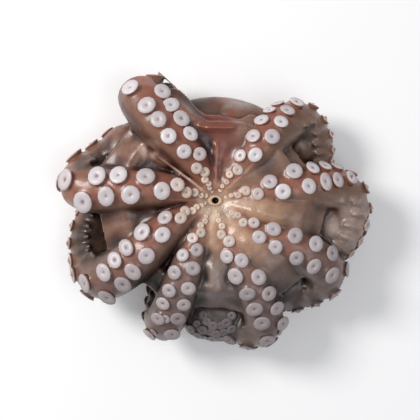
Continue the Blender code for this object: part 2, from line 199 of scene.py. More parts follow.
def control_points(arm):
    """The points that draw the arm's middle over the web, down the flank and in to its tip."""
    points = []
    run_end = run_end_of(arm)
    for share in (0, 0.2, 0.4, 0.6, 0.8, 1):
        radius = ARM_START + (run_end - ARM_START) * share
        swing = arm.heading - arm.sweep * (1 - share) ** 2
        lift = 0.001 + ARM_LIFT * arm.girth ** 2 * smooth((radius - arm.rise) / 0.045)
        lift -= RIM_DROP * smooth((radius - 0.06) / 0.045)
        height = web_height(radius) + lift - girth_grown(arm, radius - ARM_START)
        points.append(polar(radius, swing, height))
    for height, share, tucked in DESCENT:
        inset = 0 if tucked else between(RIM_INSET, arm.bow)
        radius = arm.reach - inset - arm.tuck * tucked
        points.append(polar(radius, arm.heading - arm.turn * share, height + arm.perch * tucked))
    flank_end = arm.reach - arm.tuck
    for height, share, inward in TAIL:
        radius = flank_end + (TAIL_RADIUS - flank_end) * inward
        angle = arm.heading - arm.turn - TAIL_TURN * share
        points.append(polar(radius, angle, height + arm.perch * (1 - share)))
    return points


def spline_points(points, steps):
    """Points of the uniform cubic B-spline that starts and ends on the first and last of the given points."""
    held = [points[0]] * 2 + points + [points[-1]] * 2
    line = []
    for index in range(len(held) - 3):
        a, b, c, d = held[index:index + 4]
        for step in range(steps):
            t = step / steps
            line.append((a * (1 - t) ** 3 + b * (3 * t ** 3 - 6 * t ** 2 + 4)
                         + c * (-3 * t ** 3 + 3 * t ** 2 + 3 * t + 1) + d * t ** 3) / 6)
    line.append(points[-1])
    return line


Station = namedtuple("Station", "arm distance place along up across girth")


class Route:
    """An arm's centreline, with the way its suckers face at each distance from its start."""

    def __init__(self, arm):
        self.arm = arm
        self.line = spline_points(control_points(arm), 12)
        self.distances = [0.0]
        for before, after in zip(self.line, self.line[1:]):
            self.distances.append(self.distances[-1] + (after - before).length)
        self.length = self.distances[-1]

    def at(self, wanted):
        """The arm's middle, girth and directions at the wanted distance from its start."""
        index = max(1, next((i for i, d in enumerate(self.distances) if d >= wanted), len(self.line) - 1))
        while self.distances[index] == self.distances[index - 1]:
            index += 1
        before, after = self.line[index - 1], self.line[index]
        share = (wanted - self.distances[index - 1]) / (self.distances[index] - self.distances[index - 1])
        place, along = before.lerp(after, share), (after - before).normalized()
        away = place - BODY_CENTRE
        away = (away - along * away.dot(along)).normalized()
        roll = math.radians(self.arm.roll) * smooth((wanted - self.arm.reach) / 0.03)
        up = away + Vector((0, 0, math.tan(roll)))
        up = (up - along * up.dot(along)).normalized()
        lean = smooth((wanted - 0.025) / 0.05) * (1 - smooth((wanted - self.arm.reach) / 0.02))
        up = Matrix.Rotation(-math.radians(self.arm.lean) * lean, 3, along) @ up
        girth = girth_at(self.arm, wanted, self.length)
        return Station(self.arm, wanted, place, along, up, up.cross(along), girth)

    def stations(self, step):
        count = round(self.length / step)
        return [self.at(self.length * index / count) for index in range(count + 1)]


routes = {name: Route(arm) for name, arm in ARMS.items()}


# ------------------------------------------------------------------ working in edit mode
def nothing_selected():
    bpy.ops.object.select_all(action="DESELECT")


def edit():
    bpy.ops.object.mode_set(mode="EDIT")


def leave_edit():
    bpy.ops.object.mode_set(mode="OBJECT")


def pick(piece, wanted):
    """Selects the corners whose place passes the test, and goes into edit mode with them."""
    leave_edit()
    piece.data.polygons.foreach_set("select", [False] * len(piece.data.polygons))
    piece.data.edges.foreach_set("select", [False] * len(piece.data.edges))
    piece.data.vertices.foreach_set("select", [bool(wanted(vert.co)) for vert in piece.data.vertices])
    bpy.context.tool_settings.mesh_select_mode = (True, False, False)
    edit()


def nudge(piece, wanted, move, reach, falloff="SMOOTH"):
    """Moves those corners and, with proportional editing, what lies within reach of them."""
    pick(piece, wanted)
    bpy.ops.transform.translate(value=move, use_proportional_edit=True, proportional_size=reach,
                                proportional_edit_falloff=falloff)
    leave_edit()


def turned(across, up, along):
    """The rotation that takes X, Y and Z to these directions."""
    return Matrix((across, up, along)).transposed()


def settle(piece, name):
    """Names the piece and puts its place into its mesh."""
    leave_edit()
    nothing_selected()
    piece.select_set(True)
    bpy.context.view_layer.objects.active = piece
    bpy.ops.object.transform_apply(location=True, rotation=True, scale=True)
    piece.name = piece.data.name = name
    return piece


def apply(piece, kind, **settings):
    bpy.context.view_layer.objects.active = piece
    modifier = piece.modifiers.new(kind.lower(), kind)
    for key, value in settings.items():
        setattr(modifier, key, value)
    bpy.ops.object.modifier_apply(modifier=modifier.name)


def joined(pieces, name):
    nothing_selected()
    for piece in pieces:
        piece.select_set(True)
    bpy.context.view_layer.objects.active = pieces[0]
    bpy.ops.object.join()
    return settle(pieces[0], name)


def degrees_between(place, degrees):
    return abs((math.degrees(math.atan2(place.y, place.x)) - degrees + 180) % 360 - 180)


# ------------------------------------------------------------------ the flesh before it is joined
def bare_arm(name, route):
    """Rings of skin along the arm, bridged and closed at both ends."""
    nothing_selected()
    for index, station in enumerate(route.stations(RING_SPACING)):
        on_flank = smooth((station.distance - route.arm.reach) / 0.03)
        at_rim = smooth((station.distance - 0.02) / 0.05) * (1 - on_flank)
        turn = turned(station.across, station.up, station.along).to_euler()
        bpy.ops.mesh.primitive_circle_add(vertices=RING_SIDES, radius=station.girth, rotation=turn,
                                          location=station.place + station.across * route.arm.aside * at_rim,
                                          scale=(1.03 + (route.arm.broad - 1) * at_rim,
                                                 0.98 + (route.arm.thick - 1) * on_flank, 1))
        if index == 0:
            arm_piece = bpy.context.object
            edit()
    bpy.ops.mesh.select_all(action="SELECT")
    bpy.ops.mesh.bridge_edge_loops()
    bpy.ops.mesh.select_all(action="SELECT")
    bpy.ops.mesh.fill_holes(sides=0)
    bpy.ops.mesh.normals_make_consistent(inside=False)
    return settle(arm_piece, name + "_flesh")


def arm_swing(arm, radius):
    """The direction in which the arm's middle lies at that distance from the mouth."""
    share = min(1.0, (radius - ARM_START) / (run_end_of(arm) - ARM_START))
    return arm.heading - arm.sweep * (1 - share) ** 2


def beside_arm(place, arm, side, low, high):
    """Whether a place of the web is in the line where it meets that side of the arm."""
    radius = place.to_2d().length
    if not low < radius < high:
        return False
    off = math.atan2(place.y, place.x) - math.radians(arm_swing(arm, radius))
    off = (off + math.pi) % (2 * math.pi) - math.pi
    aside = arm.aside * smooth(radius / 0.08) if side > 0 else 0
    edge = girth_grown(arm, radius - ARM_START) * 1.02 + aside
    return abs(off) < 1 and abs(radius * math.sin(off) * side - edge) < 0.0022


def web_flesh():
    """The web, drawn out ring by ring from the mouth with a drooping edge, pulled in between the arms, let
    down between and beside them and pinched up into folds."""
    nothing_selected()
    bpy.ops.mesh.primitive_circle_add(vertices=WEB_SPOKES, radius=WEB_HOLE,
                                      location=(0, 0, web_height(WEB_HOLE)))
    web = bpy.context.object
    edit()
    radius = WEB_HOLE
    for ring in range(WEB_RINGS):
        last, radius = radius, WEB_HOLE + (WEB_REACH - WEB_HOLE) * (ring + 1) / WEB_RINGS
        heights = [web_height(r) - WEB_DROOP * smooth((r - WEB_REACH + DROOP_INSIDE) / DROOP_LENGTH)
                   for r in (last, radius)]
        bpy.ops.mesh.extrude_edges_move(TRANSFORM_OT_translate={"value": (0, 0, heights[1] - heights[0])})
        bpy.ops.transform.resize(value=(radius / last, radius / last, 1), center_override=(0, 0, 0))
    settle(web, "web")
    pick(web, lambda place: place.to_2d().length < WEB_HOLE * 1.01)
    bpy.ops.mesh.edge_face_add()
    leave_edit()
    for angle, edge in [(gap.angle, gap.edge) for gap in GAPS] + list(SHORT_WEB):
        rim = max(vert.co.to_2d().length for vert in web.data.vertices if degrees_between(vert.co, angle) < 3)
        nudge(web, lambda place: degrees_between(place, angle) < 5 and place.to_2d().length > rim - 0.008,
              polar(edge - rim, angle, 0), 0.034)
    arms = list(ARMS.values())
    for index, gap in enumerate(GAPS):
        later, earlier = arms[index - 1], arms[index - 2]
        for radius in SINK_RADII:
            if not gap.sink or radius > gap.edge - 0.018:
                continue
            middle = (arm_swing(later, radius) + arm_swing(earlier, radius)) / 2
            middle += 180 if abs(later.heading - earlier.heading) > 180 else 0
            spot = polar(radius, middle, 0)
            nudge(web, lambda place: (place.to_2d() - spot.to_2d()).length < 0.003,
                  (0, 0, -gap.sink * smooth(radius / 0.045)), 0.006 + 0.20 * radius)
        for arm, side in ((later, -1), (earlier, 1)):
            for low, high in DIP_ZONES:
                deep = gap.dip * smooth((low - arm.rise + 0.010) / 0.030)
                if deep > 0.0003 and low < gap.edge - 0.022:
                    nudge(web, lambda place: beside_arm(place, arm, side, low, high), (0, 0, -deep),
                          0.004 + 0.18 * low)
    for gap in GAPS:
        nudge(web, lambda place: degrees_between(place, gap.fold_angle) < 1.2
              and 0.012 < place.to_2d().length < gap.fold_end, (0, 0, gap.fold), gap.fold_wide, "SHARP")
    settle(web, "web")
    apply(web, "SOLIDIFY", thickness=WEB_THICKNESS, offset=1)
    return web


def ball(name, size, place):
    nothing_selected()
    bpy.ops.mesh.primitive_uv_sphere_add(segments=48, ring_count=28, radius=0.5, location=place, scale=size)
    return settle(bpy.context.object, name)


def skin_bridge(bridge):
    """A rounded lump of skin that fills the gap between the web and a flank arm."""
    nothing_selected()
    place = polar(bridge.radius, bridge.angle, (bridge.top + BRIDGE_FOOT) / 2)
    bpy.ops.mesh.primitive_uv_sphere_add(segments=32, ring_count=20, radius=0.5, location=place,
                                         rotation=(0, 0, math.radians(bridge.angle)),
                                         scale=(bridge.wide, bridge.long, bridge.top - BRIDGE_FOOT))
    return settle(bpy.context.object, "skin_bridge")


def surface_of(pieces):
    corners, faces = [], []
    for piece in pieces:
        start = len(corners)
        corners += [vert.co.copy() for vert in piece.data.vertices]
        faces += [[start + index for index in face.vertices] for face in piece.data.polygons]
    return BVHTree.FromPolygons(corners, faces)


# ------------------------------------------------------------------ where the suckers sit
Seat = namedtuple("Seat", "station side foot face radius slim")


def seat_on(surface, station, way):
    """The place on the skin straight out from the arm's middle, and the skin's slope there, or None where
    something else of the body lies over the arm."""
    start = station.place + way * (station.girth + 0.02)
    foot, slope, _, _ = surface.ray_cast(start, -way, 0.04)
    if foot is None or (foot - station.place).length > station.girth * 1.25 + 0.0035:
        return None
    return foot, slope


def sucker_seats(route, surface):
    """Two rows that start as one at the mouth; each sucker all but touches the last one of the other row."""
    arm, seats = route.arm, []
    distance, side = -0.0015, 1
    while distance < route.length - 0.004:
        station = route.at(distance)
        across = arm.cup * station.girth * (0.78 + 0.22 * smooth(distance / 0.030))
        across = max(SUCKER_SMALLEST, across)
        parted = min(1.0, max(0.10, distance / ROW_PARTED))
        slim = 1 - arm.squeeze * smooth((distance - 0.050) / 0.030)
        spread = math.radians(arm.rows * parted * (1 + chance.uniform(-0.10, 0.10)))
        beside = -station.across * side
        way = station.up * math.cos(spread) + beside * math.sin(spread)
        tilt = math.radians(ROW_TILT * parted + chance.uniform(-5, 5))
        lean, radius = chance.uniform(-0.10, 0.10), across / 2 * chance.uniform(0.89, 1.01)
        found = seat_on(surface, station, way)
        if found and found[0].z > radius * 0.7 + 0.001:
            foot, slope = found
            face = station.up * math.cos(tilt) + beside * math.sin(tilt)
            face = face + station.along * lean + slope * 0.35
            seats.append(Seat(station, side, foot, face.normalized(), radius, slim))
        rows_apart = 2 * math.sin(spread) * station.girth
        touching = math.sqrt(max(0.0, (0.93 * across) ** 2 - rows_apart ** 2))
        step = max(arm.pitch * across, touching) * slim
        step *= 1 + (arm.stretch - 1) * (1 - smooth((distance - 0.02) / 0.04))
        distance += step * chance.uniform(0.94, 1.06)
        side = -side
    return seats


def coil_seats(surface):
    """Small suckers set close all over the part of the coil that looks out under the web."""
    seats = []
    centre = Vector(COIL_PLACE)
    for row, height in enumerate(COIL_ROWS):
        for step in range(-5, 6):
            aside = (step + 0.5 * (row % 2)) * COIL_SPACING / max(0.45, math.cos(math.radians(height)))
            angle = COIL_FACING + aside
            if abs(angle - COIL_FACING) > COIL_ROUND:
                continue
            way = polar(math.cos(math.radians(height)), angle + chance.uniform(-3, 3), 0)
            way.z = math.sin(math.radians(height + chance.uniform(-4, 4)))
            foot, slope, _, _ = surface.ray_cast(centre + way * 0.06, -way, 0.05)
            if foot is None or slope.dot(way) < 0.5:
                continue
            across = Vector((0, 0, 1)).cross(slope).normalized()
            station = Station(None, 0, foot, across, slope, slope.cross(across), 0)
            seats.append(Seat(station, 0, foot, slope, COIL_SUCKER / 2 * chance.uniform(0.80, 1.12), 1))
    return seats


def stubs(name, route):
    """The flesh that stands up under each sucker, and the ribs that run to it across the flank."""
    nothing_selected()
    first = True
    for seat in seats[name]:
        station = seat.station
        turn = seat.face.to_track_quat("Z", "Y").to_euler()
        on_flank = smooth((station.distance - route.arm.reach * 0.85) / 0.03) if route else 0
        bpy.ops.mesh.primitive_cone_add(vertices=12, radius1=seat.radius * STUB_FOOT * seat.slim,
                                        radius2=seat.radius * STUB_TOP * seat.slim,
                                        depth=seat.radius * (0.85 + 0.15 * on_flank), rotation=turn,
                                        location=seat.foot - seat.face * seat.radius * 0.20)
        if first:
            piece, first = bpy.context.object, False
            edit()
        side = -station.across * seat.side
        if on_flank and side.z > 0.1 and seat.radius > 0.0025:
            normal = (station.up * 0.50 + side * 0.86).normalized()
            turn = turned(station.along, normal.cross(station.along), normal).to_euler()
            bpy.ops.mesh.primitive_uv_sphere_add(
                segments=12, ring_count=8, radius=1, rotation=turn,
                location=station.place + normal * station.girth * 0.93,
                scale=(seat.radius * 0.50, station.girth * 0.85,
                       station.girth * 0.15 * route.arm.pleats * on_flank + 0.0004))
    return settle(piece, name + "_stubs")


# ------------------------------------------------------------------ the flesh
def flesh(shells):
    """All the shells and the suckers' stubs as one skin, with its throat pushed in and a flat foot."""
    shells = shells + [stubs(name, routes.get(name)) for name in seats]
    whole = joined(shells, "flesh")
    apply(whole, "REMESH", mode="VOXEL", voxel_size=SKIN_GRAIN)
    apply(whole, "SMOOTH", factor=0.5, iterations=3)
    nudge(whole, lambda place: place.to_2d().length < 0.0014 and place.z > 0.055, (0, 0, -0.006), 0.0028)
    pick(whole, lambda place: True)
    bpy.ops.mesh.bisect(plane_co=(0, 0, 0), plane_no=(0, 0, 1), use_fill=True, clear_inner=True)
    settle(whole, "flesh")
    bpy.ops.object.shade_smooth()
    return whole


def mark_skin(piece):
    """Stores on each corner how far it looks the way of the suckers, how close it is to the strip between
    the two rows, how deep in a hollow and how close beside an arm it lies."""
    mesh = piece.data
    count = len(mesh.vertices)
    places = np.empty(count * 3)
    mesh.vertices.foreach_get("co", places)
    places = places.reshape(-1, 3)
    normals = np.empty(count * 3)
    mesh.vertex_normals.foreach_get("vector", normals)
    normals = normals.reshape(-1, 3)
    stations = [station for route in routes.values() for station in route.stations(0.003)]
    tree = kdtree.KDTree(len(stations))
    for index, station in enumerate(stations):
        tree.insert(station.place, index)
    tree.balance()
    nearest = np.array([tree.find(place)[1] for place in places])
    ups = np.array([station.up for station in stations])[nearest]
    acrosses = np.array([station.across for station in stations])[nearest]
    middles = np.array([station.place for station in stations])[nearest]
    girths = np.array([station.girth for station in stations])[nearest]
    away = places - middles
    facing = (normals * ups).sum(1)
    strip = np.clip(1.5 - np.abs((away * acrosses).sum(1)) / girths * 1.6, 0, 1)
    strip *= np.clip(((away * ups).sum(1) / girths - 0.4) * 3, 0, 1)
    strip *= np.clip((1.5 - np.linalg.norm(away, axis=1) / girths) * 4, 0, 1)
    clear = np.array([(0.036 - station.arm.rise) / 0.026 for station in stations])[nearest]
    beside = np.abs((away * acrosses).sum(1)) / girths
    valley = np.clip(1.4 - np.abs(beside - 1.15) / 0.40, 0, 1) * np.clip(clear, 0.12, 1)
    valley *= np.clip((0.80 - (away * ups).sum(1) / girths) / 0.4, 0, 1) * np.clip(normals[:, 2] * 3, 0, 1)
    edges = np.empty(len(mesh.edges) * 2, dtype=int)
    mesh.edges.foreach_get("vertices", edges)
    edges = edges.reshape(-1, 2)
    friends = np.bincount(edges.ravel(), minlength=count)[:, None]
    level = places.copy()
    for _ in range(36):
        total = np.zeros_like(level)
        np.add.at(total, edges[:, 0], level[edges[:, 1]])
        np.add.at(total, edges[:, 1], level[edges[:, 0]])
        level = total / friends
    hollow = -((places - level) * normals).sum(1) / 0.0016
    for name, values in (("facing", facing), ("strip", strip), ("hollow", hollow), ("valley", valley)):
        stored = mesh.attributes.new(name, "FLOAT", "POINT")
        stored.data.foreach_set("value", values.astype(np.float32))


# ------------------------------------------------------------------ the suckers
def sucker_pattern():
    """One sucker with a rim of radius 1, drawn up from its foot and in over the rim to the cup."""
    nothing_selected()
    radius, height = SUCKER_PROFILE[0]
    bpy.ops.mesh.primitive_circle_add(vertices=SUCKER_SIDES, radius=radius, fill_type="NGON",
                                      location=(0, 0, height))
    pattern = bpy.context.object
    edit()
    bpy.ops.mesh.flip_normals()
    for wider, higher in SUCKER_PROFILE[1:]:
        bpy.ops.mesh.extrude_edges_move(TRANSFORM_OT_translate={"value": (0, 0, higher - height)})
        bpy.ops.transform.resize(value=(wider / radius, wider / radius, 1), center_override=(0, 0, 0))
        radius, height = wider, higher
    bpy.ops.mesh.edge_face_add()
    bpy.ops.mesh.select_all(action="SELECT")
    bpy.ops.mesh.normals_make_consistent(inside=False)
    settle(pattern, "sucker_pattern")
    bpy.ops.object.shade_smooth()
    own = pattern.data.attributes.new("own_place", "FLOAT_VECTOR", "POINT")
    for stored, vert in zip(own.data, pattern.data.vertices):
        stored.vector = vert.co
    return pattern


def sucker_row(name, pattern):
    """A copy of the sucker on each seat of one arm or of the coil, a little different each time."""
    copies = []
    for seat in seats[name]:
        mesh = pattern.data.copy()
        side = seat.station.along.cross(seat.face).normalized()
        turn = turned(side, seat.face.cross(side), seat.face).to_4x4()
        turn.translation = seat.foot
        oval = chance.uniform(0.94, 1.05)
        low = 0.80 - 0.25 * smooth((0.55 - seat.face.z) / 0.4)
        size = Matrix.Diagonal((seat.radius * oval, seat.radius / oval * seat.slim, seat.radius * low, 1))
        spin = Matrix.Rotation(chance.uniform(0, math.pi), 4, "Z")
        mesh.transform(turn @ size @ spin)
        for label, value in (("tone", chance.random()), ("cup", chance.random())):
            mark = mesh.attributes.new(label, "FLOAT", "POINT")
            mark.data.foreach_set("value", [value] * len(mesh.vertices))
        copy = bpy.data.objects.new(name, mesh)
        bpy.context.collection.objects.link(copy)
        copies.append(copy)
    return joined(copies, name + "_suckers")


# ------------------------------------------------------------------ the mouth
def mouth_lip():
    """The pale frilled ring round the mouth."""
    nothing_selected()
    bpy.ops.mesh.primitive_torus_add(major_segments=48, minor_segments=12, major_radius=0.0040,
                                     minor_radius=0.0017, location=(0, 0, MOUTH_HEIGHT + 0.0006))
    lip = settle(bpy.context.object, "mouth_lip")
    pick(lip, lambda place: round(math.degrees(math.atan2(place.y, place.x)) / 7.5) % 3 == 0)
    bpy.ops.transform.resize(value=(0.88, 0.88, 1), center_override=(0, 0, MOUTH_HEIGHT))
    bpy.ops.transform.translate(value=(0, 0, -0.0005))
    pick(lip, lambda place: True)
    bpy.ops.transform.resize(value=(1.15, 0.82, 1), center_override=(0, 0, MOUTH_HEIGHT))
    settle(lip, "mouth_lip")
    bpy.ops.object.shade_smooth()
    lip.modifiers.new("rounding", "SUBSURF").levels = 1
    lip.modifiers["rounding"].render_levels = 1
    return lip


# ------------------------------------------------------------------ finishes
def new_finish(name):
    finish = bpy.data.materials.new(name)
    finish.use_nodes = True
    tree = finish.node_tree
    return finish, tree, tree.nodes["Principled BSDF"]


def put(tree, socket, value):
    if isinstance(value, bpy.types.NodeSocket):
        tree.links.new(value, socket)
    else:
        socket.default_value = value


def node(tree, kind, output=0, settings=(), **inputs):
    made = tree.nodes.new(kind)
    for key, value in dict(settings).items():
        setattr(made, key, value)
    for key, value in inputs.items():
        put(tree, made.inputs[key.replace("_", " ")], value)
    return made.outputs[output]


def mixed(tree, share, first, second, blend="MIX"):
    made = tree.nodes.new("ShaderNodeMix")
    made.data_type, made.blend_type = "RGBA", blend
    put(tree, made.inputs[0], share)
    for socket, value in ((made.inputs[6], first), (made.inputs[7], second)):
        put(tree, socket, value if isinstance(value, bpy.types.NodeSocket) else (*value, 1))
    return made.outputs[2]


def maths(tree, operation, first, second=0.5):
    made = tree.nodes.new("ShaderNodeMath")
    made.operation = operation
    put(tree, made.inputs[0], first)
    put(tree, made.inputs[1], second)
    return made.outputs[0]


def eased(tree, value, low, high, to_low=0.0, to_high=1.0):
    return node(tree, "ShaderNodeMapRange", settings={"interpolation_type": "SMOOTHSTEP"}, Value=value,
                From_Min=low, From_Max=high, To_Min=to_low, To_Max=to_high)


def noise(tree, where, scale, detail=4.0, rough=0.55):
    return node(tree, "ShaderNodeTexNoise", Vector=where, Scale=scale, Detail=detail, Roughness=rough)


def stored(tree, name, output="Fac"):
    made = tree.nodes.new("ShaderNodeAttribute")
    made.attribute_name = name
    return made.outputs[output]


def flat_distance(tree, where, centre=(0, 0, 0)):
    """Distance in plan from a point."""
    moved = node(tree, "ShaderNodeVectorMath", settings={"operation": "SUBTRACT"}, Vector=where)
    moved.node.inputs[1].default_value = centre
    level = node(tree, "ShaderNodeVectorMath", settings={"operation": "MULTIPLY"}, Vector=moved)
    level.node.inputs[1].default_value = (1, 1, 0)
    return node(tree, "ShaderNodeVectorMath", output="Value", settings={"operation": "LENGTH"}, Vector=level)


def towards(tree, where, degrees):
    """How far a place lies in that direction from the mouth, in metres."""
    made = node(tree, "ShaderNodeVectorMath", output="Value", settings={"operation": "DOT_PRODUCT"},
                Vector=where)
    made.node.inputs[1].default_value = polar(1, degrees, 0)
    return made


def rgb(red, green, blue):
    """Linear colour of an sRGB colour given in 0 to 255."""
    return tuple((value / 255 / 12.92) if value <= 10 else ((value / 255 + 0.055) / 1.055) ** 2.4
                 for value in (red, green, blue))


def roughened(tree, shader, height, strength, distance):
    """Gives the surface that relief."""
    put(tree, shader.inputs["Normal"],
        node(tree, "ShaderNodeBump", Height=height, Strength=strength, Distance=distance))


# Places where the skin is painted, some with a colour of its own, some with painted highlights and some with
# painted shade: middle, radius, colour and how much of it shows.
Patch = namedtuple("Patch", "x y radius tint share")
SKIN_TINTS_AND_PAINTED_LIGHT = (
    Patch(-0.0545, 0.0405, 0.011, rgb(222, 196, 174), 0.75),    # painted highlight on the plateau between arm_1 and arm_2
    Patch(-0.078, -0.012, 0.013, rgb(196, 170, 150), 0.45),     # painted highlight on the web between arm_2 and arm_3
    Patch(0.002, -0.060, 0.016, rgb(190, 172, 164), 0.35),      # painted highlight on the web between arm_4 and arm_5
    Patch(0.022, 0.088, 0.022, rgb(150, 132, 124), 0.80),       # grey mantle between the two upper arms
    Patch(-0.012, 0.086, 0.018, rgb(74, 60, 52), 0.80),         # its dark side by arm_1
    Patch(0.002, -0.107, 0.028, rgb(62, 54, 52), 0.85),         # painted shade over the coil, which lies under the web
    Patch(-0.110, -0.030, 0.024, rgb(66, 48, 35), 0.75),        # painted shade in the hollow between arm_2 and arm_3
    Patch(0.060, -0.080, 0.018, rgb(48, 40, 36), 0.65),         # painted shade in the hollow between arm_5 and arm_6
    Patch(-0.062, -0.068, 0.014, rgb(44, 33, 28), 0.70),        # painted shade in the hollow between arm_3 and arm_4
    Patch(0.084, -0.090, 0.020, rgb(62, 55, 50), 0.60),         # painted shade on the flank below arm_6
    Patch(0.109, -0.022, 0.030, rgb(178, 158, 148), 0.60),      # pale pleated flank between arm_6 and arm_7
)
# Painted highlights in thin pale lines along the crests of the web's folds: direction, how much they bend,
# start, end and colour.
CrestHighlight = namedtuple("CrestHighlight", "angle bend start end tint")
CREST_HIGHLIGHTS = (
    CrestHighlight(140, 0.8, 0.008, 0.064, rgb(214, 166, 144)),
    CrestHighlight(89, -0.3, 0.010, 0.052, rgb(176, 110, 92)),
    CrestHighlight(43, 0.4, 0.012, 0.048, rgb(190, 140, 120)),
    CrestHighlight(178, 0.6, 0.012, 0.046, rgb(176, 116, 100)),
    CrestHighlight(219, -0.6, 0.012, 0.036, rgb(176, 120, 104)),
)


def skin_finish():
    """Brown-red skin that is redder above and greyer below, and darker southward, partly as painted shade;
    creamy round the mouth, dark at the back, with painted shade in the hollows, beside the arms, down the
    throat and on a few dark patches, painted highlights on the ridges, along the folds and on a few pale
    patches, and wet all over."""
    finish, tree, shader = new_finish("wet octopus skin")
    where = node(tree, "ShaderNodeTexCoord", output="Object")
    facing, strip, hollow = stored(tree, "facing"), stored(tree, "strip"), stored(tree, "hollow")
    blotch = noise(tree, where, 22, 3)
    drift = maths(tree, "MULTIPLY", maths(tree, "SUBTRACT", blotch, 0.5), 0.07)
    mottle = noise(tree, where, 150, 6, 0.65)
    freckle = noise(tree, where, 620, 3, 0.7)

    north_west = eased(tree, maths(tree, "ADD", towards(tree, where, 118), drift), -0.012, 0.050)
    # greyer southward, where the skin is also darkened as painted shade
    southward_grey_and_shade = eased(tree, maths(tree, "ADD", towards(tree, where, 275), drift), 0.015, 0.090)
    from_mouth = flat_distance(tree, where, (0.001, -0.006, 0))
    near = maths(tree, "ADD", flat_distance(tree, where, (0.014, -0.014, 0)), drift)
    colour = mixed(tree, north_west, rgb(128, 97, 79), rgb(130, 90, 72))
    colour = mixed(tree, southward_grey_and_shade, colour, rgb(108, 92, 86))
    colour = mixed(tree, eased(tree, near, 0.046, 0.010, 0, 0.9), colour, rgb(190, 150, 122))
    red_strip = maths(tree, "MULTIPLY",
                      eased(tree, maths(tree, "ABSOLUTE", towards(tree, where, 178)), 0.022, 0.008),
                      eased(tree, towards(tree, where, 88), 0.006, 0.026))
    colour = mixed(tree, maths(tree, "MULTIPLY", red_strip, 0.85), colour, rgb(126, 62, 46))
    between_rows = mixed(tree, southward_grey_and_shade, rgb(152, 90, 72), rgb(116, 94, 90))
    colour = mixed(tree, maths(tree, "MULTIPLY", strip, 0.65), colour, between_rows)
    lateral = mixed(tree, eased(tree, blotch, 0.35, 0.65), rgb(134, 110, 96), rgb(86, 69, 58))
    colour = mixed(tree, eased(tree, facing, 0.70, 0.10, 0, 0.75), colour, lateral)
    back = mixed(tree, eased(tree, mottle, 0.42, 0.62), rgb(96, 78, 68), rgb(58, 46, 39))
    colour = mixed(tree, eased(tree, facing, 0.05, -0.55, 0, 0.9), colour, back)
    for patch in SKIN_TINTS_AND_PAINTED_LIGHT:
        away = maths(tree, "ADD", flat_distance(tree, where, (patch.x, patch.y, 0)),
                     maths(tree, "MULTIPLY", drift, 0.3))
        shown = eased(tree, away, patch.radius, patch.radius * 0.35, 0, patch.share)
        colour = mixed(tree, shown, colour, patch.tint)
    cream = eased(tree, from_mouth, 0.018, 0.006)
    colour = mixed(tree, cream, colour, rgb(220, 194, 166))
    colour = mixed(tree, eased(tree, mottle, 0.40, 0.75, 0, 0.30), colour, rgb(96, 62, 50), "MULTIPLY")
    colour = mixed(tree, eased(tree, freckle, 0.55, 0.75, 0, 0.20), colour, rgb(80, 48, 36))
    # painted shade: the skin is darkened in its hollows as if light were kept out, with some pooled brown;
    # warmer north-west, greyer southward
    hollow_shade_tone = mixed(tree, southward_grey_and_shade, rgb(120, 58, 36), rgb(80, 62, 56))
    colour = mixed(tree, eased(tree, hollow, 0.0, 1.3, 0, 0.92), colour, hollow_shade_tone, "MULTIPLY")
    # painted shadow where the web meets the sides of the arms
    valley_shadow = eased(tree, stored(tree, "valley"), 0.1, 0.9, 0, 0.70)
    colour = mixed(tree, valley_shadow, colour, hollow_shade_tone, "MULTIPLY")
    # painted highlight on the ridges, where the skin bulges out
    colour = mixed(tree, eased(tree, hollow, -1.0, -2.4, 0, 0.30), colour, rgb(226, 204, 190), "SCREEN")
    # painted highlight along the crest of each fold
    for crest in CREST_HIGHLIGHTS:
        out = towards(tree, where, crest.angle)
        bent = maths(tree, "MULTIPLY", maths(tree, "MULTIPLY", out, out), crest.bend)
        across = maths(tree, "SUBTRACT", towards(tree, where, crest.angle + 90), bent)
        along = maths(tree, "MULTIPLY", eased(tree, out, crest.start, crest.start + 0.004),
                      eased(tree, out, crest.end, crest.end - 0.020))
        line = maths(tree, "MULTIPLY", eased(tree, maths(tree, "ABSOLUTE", across), 0.0013, 0.0004), along)
        colour = mixed(tree, maths(tree, "MULTIPLY", line, 0.7), colour, crest.tint)
    # painted shade down the throat: the middle of the mouth darkened
    throat = eased(tree, flat_distance(tree, where), 0.0034, 0.0022)
    colour = mixed(tree, throat, colour, rgb(40, 24, 14))
    put(tree, shader.inputs["Base Color"], colour)
    put(tree, shader.inputs["Roughness"], eased(tree, mottle, 0.3, 0.7, 0.30, 0.46))
    shader.inputs["Specular IOR Level"].default_value = 0.5
    shader.inputs["Coat Weight"].default_value = 0.32
    shader.inputs["Coat Roughness"].default_value = 0.20
    shader.inputs["Subsurface Weight"].default_value = 0.10
    shader.inputs["Subsurface Radius"].default_value = (0.0030, 0.0014, 0.0009)
    shader.inputs["Subsurface Scale"].default_value = 1.0
    wrinkle = noise(tree, where, 260, 4, 0.6)
    pores = node(tree, "ShaderNodeTexVoronoi", output="Distance", Vector=where, Scale=820)
    coarse = node(tree, "ShaderNodeBump", Height=wrinkle, Strength=0.30, Distance=0.0012)
    fine = node(tree, "ShaderNodeBump", Height=pores, Strength=0.18, Distance=0.0004, Normal=coarse)
    put(tree, shader.inputs["Normal"], fine)
    return finish


